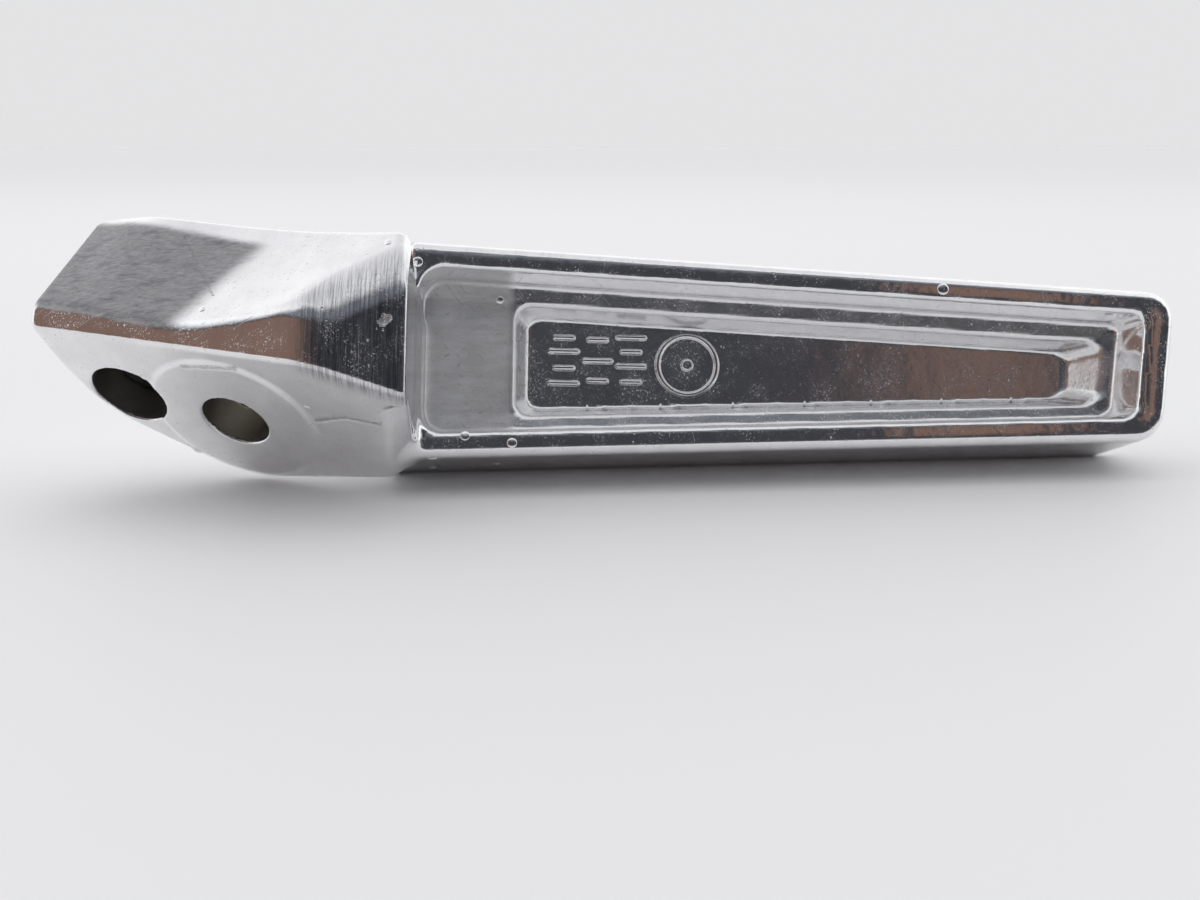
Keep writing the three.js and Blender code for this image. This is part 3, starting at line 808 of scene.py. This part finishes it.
bush_outer, flange_outer, oil_groove = 5.0, 6.9, 4.35
bush_low, flange_low = 5.6, 16.8
turned_round = 0.22
bush_profile = rounded_profile([
    (pin_bore, bush_low), (bush_outer, bush_low), (bush_outer, flange_low), (flange_outer, flange_low),
    (flange_outer, tongue_thick), (pin_bore, tongue_thick), (pin_bore, 12.6), (oil_groove, 12.3),
    (oil_groove, 11.1), (pin_bore, 10.8),
], turned_round, closed=True)
bush_points, bush_faces = turned_shape(bush_profile, 96, closed=True)
oiled_bronze = machined_metal(
    "oiled_bronze", dark=(0.40, 0.36, 0.31), light=(0.56, 0.51, 0.44), rough_low=0.34, rough_high=0.5,
    ring_scale=5.0, waves=0.3, scratches=1.0,
)
pin_piece("turned_bush", bush_points, bush_faces, oiled_bronze, "pivot_bush", "peg")

# ---------------------------------------------------------------- detent ball
# A hardened steel bearing ball, mirror bright, with a faint worn band where it clicks over the bracket.

ball_sweep = np.radians(np.linspace(-90, 90, 73))
ball_out = (ball_radius * np.cos(ball_sweep)).round(12)
ball_up = ball_depth + ball_radius * np.sin(ball_sweep)
ball_points, ball_faces = turned_shape(list(zip(ball_out, ball_up)), 128)
ball_points[:, 0] -= ball_pitch
bearing_steel = machined_metal(
    "bearing_steel", dark=(0.62, 0.63, 0.65), light=(0.76, 0.77, 0.79), rough_low=0.05, rough_high=0.12,
    ring_scale=0.8, waves=0.1, scratches=0.7,
)
pin_piece("bright_ball", ball_points, ball_faces, bearing_steel, "detent_ball", "click_ball")

# ---------------------------------------------------------------- detent spring
# A short coil of drawn spring wire, which presses the ball outwards from the plug.

wire_radius, coil_radius, coil_turns = 0.35, 2.725, 3
coil_start, coil_end = 7.85, 10.858
wire_share = np.linspace(0, 1, 48 * coil_turns + 1)[:, None]
coil_angle = 2 * np.pi * coil_turns * wire_share
wire_angle = 2 * np.pi * np.arange(16)[None, :] / 16
rise = (coil_end - coil_start) / (2 * np.pi * coil_turns)
steepness = np.arctan2(rise, coil_radius)
outward = coil_radius + wire_radius * np.cos(wire_angle)
sideways = wire_radius * np.sin(wire_angle)
coil_points = np.stack([
    outward * np.cos(coil_angle) + sideways * np.sin(steepness) * np.sin(coil_angle) - ball_pitch,
    outward * np.sin(coil_angle) - sideways * np.sin(steepness) * np.cos(coil_angle),
    coil_start + (coil_end - coil_start) * wire_share + sideways * np.cos(steepness),
], axis=-1)
coil_number = np.arange(coil_points.shape[0] * 16).reshape(-1, 16)
next_number = np.roll(coil_number, -1, axis=1)
coil_faces = np.stack([
    coil_number[:-1], coil_number[1:], next_number[1:], next_number[:-1],
], axis=-1).reshape(-1, 4).tolist()
coil_faces += [coil_number[0].tolist(), coil_number[-1, ::-1].tolist()]
spring_wire = machined_metal(
    "drawn_spring_wire", dark=(0.30, 0.30, 0.31), light=(0.46, 0.46, 0.47), rough_low=0.25, rough_high=0.4,
    ring_scale=2.0, waves=0.2, scratches=0.5,
)
pin_piece("coiled_spring", coil_points.reshape(-1, 3), coil_faces, spring_wire, "detent_spring", "click_ball")

# ---------------------------------------------------------------- detent plug
# A blackened steel cup pressed in behind the spring, with a shallow turned dish in its outer face.

plug_outer, cup_inner, pressed_round = 4.375, 3.475, 0.3
plug_low, dish_floor, cup_floor, cup_rim = 4.6, 4.9, 5.8, 9.2
plug_profile = rounded_profile([
    (0, dish_floor), (1.6, dish_floor), (2.2, plug_low), (plug_outer, plug_low), (plug_outer, cup_rim),
    (cup_inner, cup_rim), (cup_inner, cup_floor), (0, cup_floor),
], pressed_round)
plug_points, plug_faces = turned_shape(plug_profile, 96)
plug_points[:, 0] -= ball_pitch
blackened = machined_metal(
    "blackened_steel", dark=(0.035, 0.035, 0.034), light=(0.085, 0.083, 0.078), rough_low=0.38,
    rough_high=0.55, ring_scale=3.0, waves=0.3, scratches=0.8,
)
pin_piece("dished_plug", plug_points, plug_faces, blackened, "detent_plug", "peg")

# ---------------------------------------------------------------- tread rubbers
# Three black rubber strips pressed into the grooves of the tread face, with pointed ends and cross ribs
# for the boot's sole. Their skin is a little dusty between the ribs.

moulded = bpy.data.materials.new("moulded_rubber")
moulded.use_nodes = True
n = Nodes(moulded.node_tree)
shader = moulded.node_tree.nodes["Principled BSDF"]
place = n.place("bar_place")
grain = n.noise(place, 3.5, 5.0, 0.65)
dust = n.ease(n.noise(place, 0.35, 4.0, 0.65), 0.45, 0.75)
low_down = n.ease(n.put("ShaderNodeSeparateXYZ", {0: place}, 1), 14.3, 13.9)
scuffs = place_group(n, brush, {"Place": place, "Fineness": (0.4, 3.0, 3.0)})["Lines"]
tone = n.blend(n.ease(grain, 0.35, 0.7), (0.018, 0.018, 0.019, 1), (0.036, 0.036, 0.037, 1))
tone = n.blend(n.math("MULTIPLY", n.math("MAXIMUM", dust, low_down), 0.5), tone, (0.095, 0.09, 0.083, 1))
n.tree.links.new(tone, shader.inputs["Base Color"])
rough = n.math("ADD", n.ease(scuffs, 0.3, 0.75, 0.62, 0.8), n.math("MULTIPLY", dust, 0.12))
n.tree.links.new(rough, shader.inputs["Roughness"])
relief = n.math("ADD", n.math("MULTIPLY", grain, 0.6), n.math("MULTIPLY", scuffs, 0.3))
bump = n.put("ShaderNodeBump", {"Height": relief, "Distance": 0.00008, "Strength": 1.0})
n.tree.links.new(bump, shader.inputs["Normal"])

rubber_fit = 0.3
rubber_start, rubber_end = groove_start + rubber_fit, groove_end - rubber_fit
rubber_low, rubber_top = groove_floor + rubber_fit, 14.4
rib_pitch, rib_depth, edge_round = 2.2, 0.6, 0.45
rubber_x = np.linspace(rubber_start, rubber_end, 420)[:, None]
to_end = np.minimum(rubber_x - rubber_start, rubber_end - rubber_x)
rubber_half = (groove_half - rubber_fit) * pointed(to_end)
from_rib = np.abs((rubber_x - rubber_start) / rib_pitch % 1 - 0.5) * rib_pitch
rubber_crest = rubber_top - rib_depth * (1 - soft_step(from_rib, 0.25, 0.6)) * soft_step(to_end, 1.2, 2.2)
rubber_crest -= 0.35 * (1 - soft_step(to_end, 0.0, 0.8))
arc = np.radians(np.linspace(0, 90, 7))[None, :]
side_up = np.linspace(0, 1, 8)[None, :]
across_top = np.linspace(1, -1, 9)[None, 1:-1]
round_y = rubber_crest - edge_round * (1 - np.sin(arc))
round_z = rubber_half - edge_round * (1 - np.cos(arc))
ring_y = np.concatenate([
    rubber_low + (rubber_crest - edge_round - rubber_low) * side_up[:, :-1], round_y,
    rubber_crest + 0 * across_top, round_y[:, ::-1],
    rubber_low + (rubber_crest - edge_round - rubber_low) * side_up[:, -2::-1],
], axis=1)
ring_z = np.concatenate([
    rubber_half + 0 * side_up[:, :-1], round_z,
    (rubber_half - edge_round) * across_top, -round_z[:, ::-1],
    -rubber_half + 0 * side_up[:, -2::-1],
], axis=1)
ring_x = rubber_x + 0 * ring_y
strip_number = np.arange(ring_x.size).reshape(ring_x.shape)
strip_next = np.roll(strip_number, -1, axis=1)
strip_faces = np.stack([
    strip_number[:-1], strip_number[1:], strip_next[1:], strip_next[:-1],
], axis=-1).reshape(-1, 4).tolist()
strip_faces += [strip_number[0].tolist(), strip_number[-1, ::-1].tolist()]
for lane, side in (("lower", -1), ("middle", 0), ("upper", 1)):
    strip_points = np.stack([ring_x, ring_y, ring_z + side * groove_lane * rim_half(ring_x)], axis=-1)
    strip_points = strip_points.reshape(-1, 3)
    strip = new_piece(f"ribbed_rubber_{lane}", strip_points, strip_faces, moulded)
    keep_place(strip.data, strip_points)
    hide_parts(f"tread_rubber_{lane}")
    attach(strip, "peg")

# ---------------------------------------------------------------- floor and surroundings
# A wide sheet of pale paper, and a pale room. Towards the viewer the room has a dark zone with two patches
# of warm wood in it, which the polished metal reflects, and one soft lamp hangs overhead. The camera
# itself sees an even pale backdrop.

floor_mesh = bpy.data.meshes.new("floor")
floor_mesh.from_pydata([(-4, -4, 0), (4, -4, 0), (4, 4, 0), (-4, 4, 0)], [], [(0, 1, 2, 3)])
pale = bpy.data.materials.new("pale_paper")
pale.use_nodes = True
pale_shader = pale.node_tree.nodes["Principled BSDF"]
pale_shader.inputs["Base Color"].default_value = (0.9, 0.9, 0.905, 1)
pale_shader.inputs["Roughness"].default_value = 0.55
floor_mesh.materials.append(pale)
floor = bpy.data.objects.new("floor", floor_mesh)
bpy.context.scene.collection.objects.link(floor)

world = bpy.data.worlds.new("pale_room")
bpy.context.scene.world = world
world.use_nodes = True
world.node_tree.nodes.clear()
n = Nodes(world.node_tree)
direction = n.tree.nodes.new("ShaderNodeSeparateXYZ")
n.tree.links.new(n.put("ShaderNodeTexCoord"), direction.inputs[0])
to_right, height = direction.outputs["X"], direction.outputs["Z"]
towards_viewer = n.math("MULTIPLY", direction.outputs["Y"], -1.0)

below_lamp = n.ease(height, 0.77, 0.86, 1.0, 0.0)
above_floor = n.ease(height, -0.1, 0.02)
dark = n.math("MULTIPLY", n.math("MULTIPLY", n.ease(towards_viewer, 0.2, 0.5), below_lamp), above_floor)
left_wood = n.ease(to_right, -0.5, -0.3, 1.0, 0.0)
right_wood = n.math("MULTIPLY", n.ease(to_right, 0.31, 0.345), n.ease(to_right, 0.43, 0.46, 1.0, 0.0))
right_wood = n.math("MULTIPLY", right_wood, n.ease(height, 0.3, 0.4))
wood = n.math("MULTIPLY", n.math("MAXIMUM", left_wood, right_wood), n.ease(height, 0.5, 0.6, 1.0, 0.0))

shade = n.blend(n.ease(height, 0.06, 0.26), (0.15, 0.15, 0.155, 1), (0.05, 0.052, 0.06, 1))
shade = n.blend(n.ease(height, 0.52, 0.7), shade, (0.2, 0.215, 0.245, 1))
shade = n.blend(wood, shade, (0.21, 0.135, 0.11, 1))
pale_room = n.blend(n.ease(height, 0.75, 0.95), (1.08, 1.08, 1.09, 1), (0.8, 0.8, 0.82, 1))
seen = n.tree.nodes.new("ShaderNodeLightPath").outputs["Is Camera Ray"]
backdrop = n.blend(seen, n.blend(dark, pale_room, shade), (0.77, 0.77, 0.78, 1))
sky = n.put("ShaderNodeBackground", {"Color": backdrop})
room_output = n.tree.nodes.new("ShaderNodeOutputWorld")
n.tree.links.new(sky, room_output.inputs["Surface"])

key_data = bpy.data.lights.new("overhead_softbox", "AREA")
key_data.shape = "RECTANGLE"
key_data.size, key_data.size_y = 0.9, 0.6
key_data.energy = 1.3
key = bpy.data.objects.new("overhead_softbox", key_data)
key.location = (-0.1, 0.35, 0.9)
key.rotation_euler = (-0.35, -0.1, 0)
key.visible_glossy = False
bpy.context.scene.collection.objects.link(key)

# ---------------------------------------------------------------- camera
# A little above the peg and in front of it, looking down at the trough and the near cheek.

camera_data = bpy.data.cameras.new("camera")
camera_data.lens = 35.34
camera_data.clip_start = 0.005
camera = bpy.data.objects.new("camera", camera_data)
camera.location = (-0.01697, -0.14576, 0.04265)
camera.rotation_euler = (np.radians(75), 0, np.radians(-5))
bpy.context.scene.collection.objects.link(camera)
bpy.context.scene.camera = camera
bpy.context.scene.view_settings.view_transform = "Standard"
